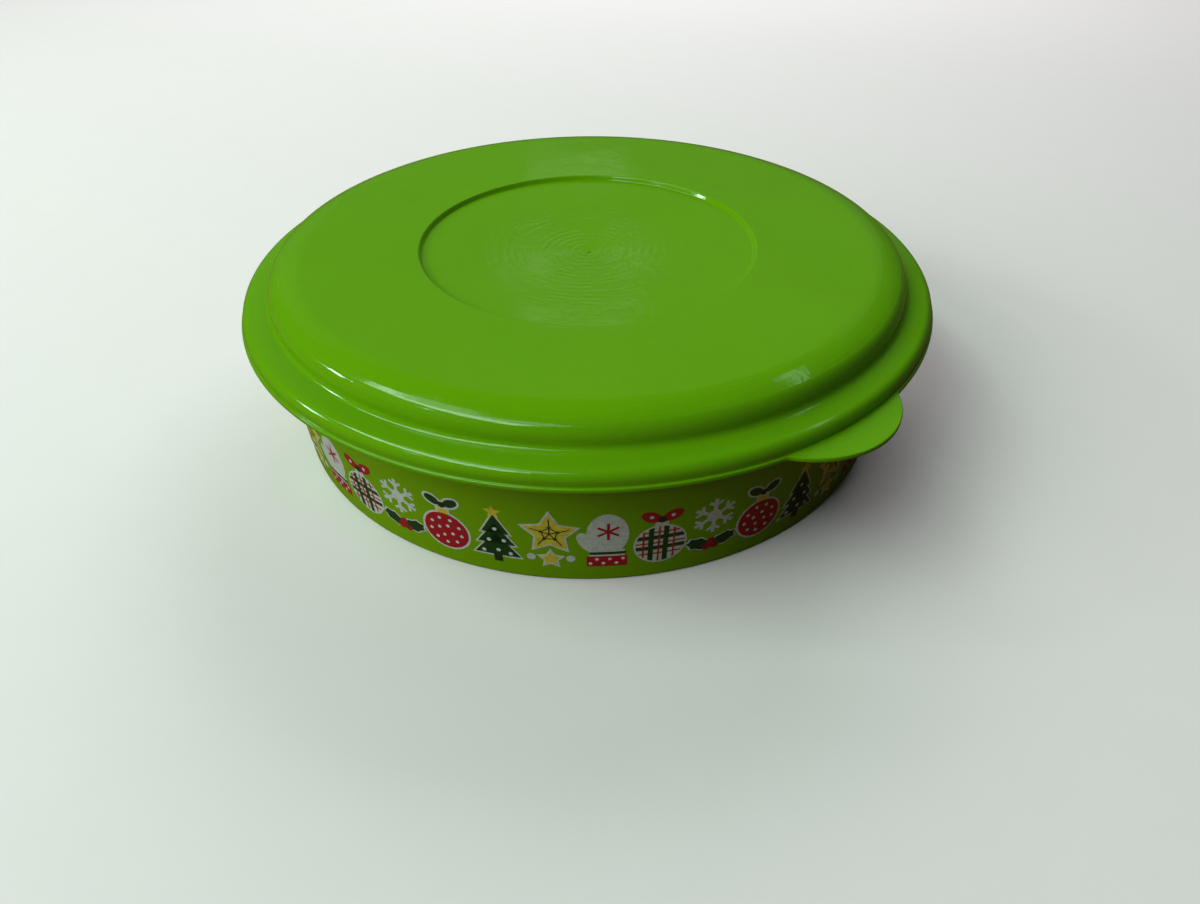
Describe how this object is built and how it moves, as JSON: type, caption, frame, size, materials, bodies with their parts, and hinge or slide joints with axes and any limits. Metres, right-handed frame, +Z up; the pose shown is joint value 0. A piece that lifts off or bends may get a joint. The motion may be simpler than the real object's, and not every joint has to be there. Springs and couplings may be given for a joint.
{
  "type": "tortilla warmer",
  "caption": "Round shallow plastic food keeper: a tapered bowl with a foot ring, a collar and a turned-down rim, and a domed lid that seals on the rim and lifts off by a D-shaped tab.",
  "frame": {"origin": "centre of the foot ring, in the plane that the bowl stands on", "axes": "+Z up along the common axis of bowl and lid, -Y towards the lid's pull tab"},
  "size_m": [0.2598, 0.2702, 0.0665],
  "materials": {
    "bowl": "glossy dark olive-green polypropylene, a little translucent",
    "lid": "satin-gloss bright green polyethylene with a faint moulded ripple"
  },
  "bodies": {
    "bowl": {"bowl": "bowl"},
    "lid": {"lid": "lid"}
  },
  "joints": [
    {"name": "lid_lift", "type": "slide", "parent": "bowl", "child": "lid", "axis": [0, 0, 1], "range_m": [0, 0.12]}
  ]
}
